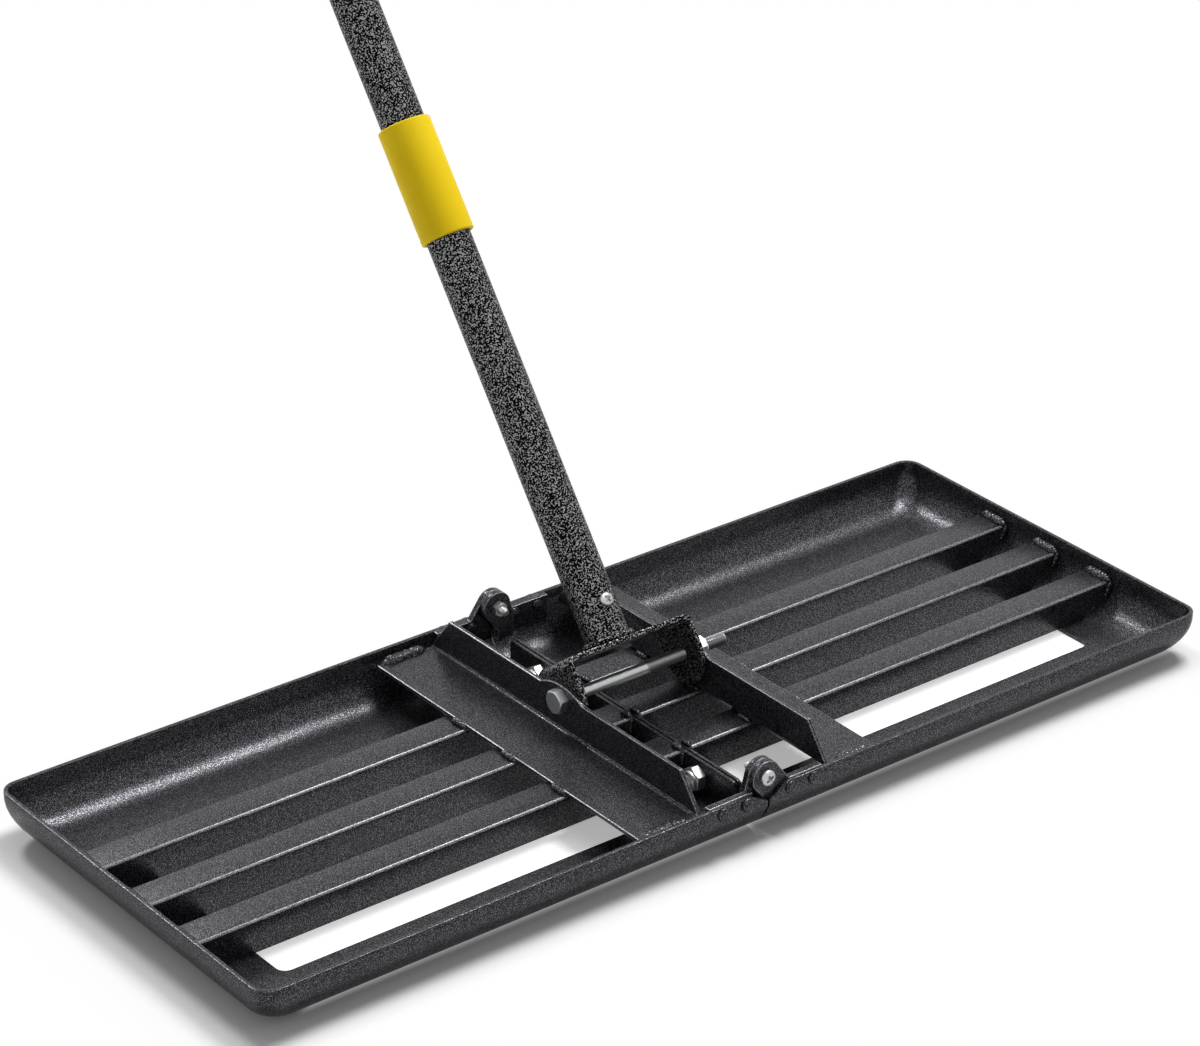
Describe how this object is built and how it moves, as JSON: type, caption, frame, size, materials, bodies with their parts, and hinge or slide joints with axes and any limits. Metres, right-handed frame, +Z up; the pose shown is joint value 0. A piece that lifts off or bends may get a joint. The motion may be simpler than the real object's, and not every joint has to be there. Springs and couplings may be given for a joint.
{
  "type": "lawn leveling rake",
  "caption": "Shallow rectangular steel leveling base with slats and floor windows, two halves joined by hinges, on a tilting tube handle for spreading soil.",
  "frame": {"origin": "on the ground at the middle of the base, where the two halves meet", "axes": "+X along the base to the right, +Y to the side the handle leans to, +Z up"},
  "size_m": [0.66, 1.0581, 1.2461],
  "materials": {
    "powder_coat": "satin",
    "hammered_coat": "satin",
    "zinc": "satin",
    "sleeve_plastic": "satin",
    "grip_rubber": "matte",
    "cap_plastic": "matte"
  },
  "bodies": {
    "base": {"left_pan": "powder_coat", "right_pan": "powder_coat", "left_slats": "powder_coat", "right_slats": "powder_coat", "left_web": "powder_coat", "right_web": "powder_coat", "left_angle_plate": "powder_coat", "right_angle_plate": "powder_coat", "near_left_leaf": "powder_coat", "near_right_leaf": "powder_coat", "far_left_leaf": "powder_coat", "far_right_leaf": "powder_coat", "hinge_rivets": "powder_coat", "hinge_screws": "zinc", "hinge_nuts": "zinc", "lock_bolts": "zinc", "lock_nuts": "zinc", "pivot_bolt": "zinc", "pivot_washer": "zinc", "pivot_nut": "zinc"},
    "handle": {"yoke": "hammered_coat", "spigot": "hammered_coat", "lower_tube": "hammered_coat", "second_tube": "hammered_coat", "third_tube": "hammered_coat", "fourth_tube": "hammered_coat", "upper_tube": "hammered_coat", "cross_screw": "zinc", "joiners": "zinc", "joint_sleeves": "sleeve_plastic", "grip": "grip_rubber", "end_cap": "cap_plastic"}
  },
  "joints": [
    {"name": "handle_tilt", "type": "hinge", "parent": "base", "child": "handle", "pos_m": [0, 0, 0.0425], "axis": [1, 0, 0], "range_deg": [-44, 119]}
  ]
}
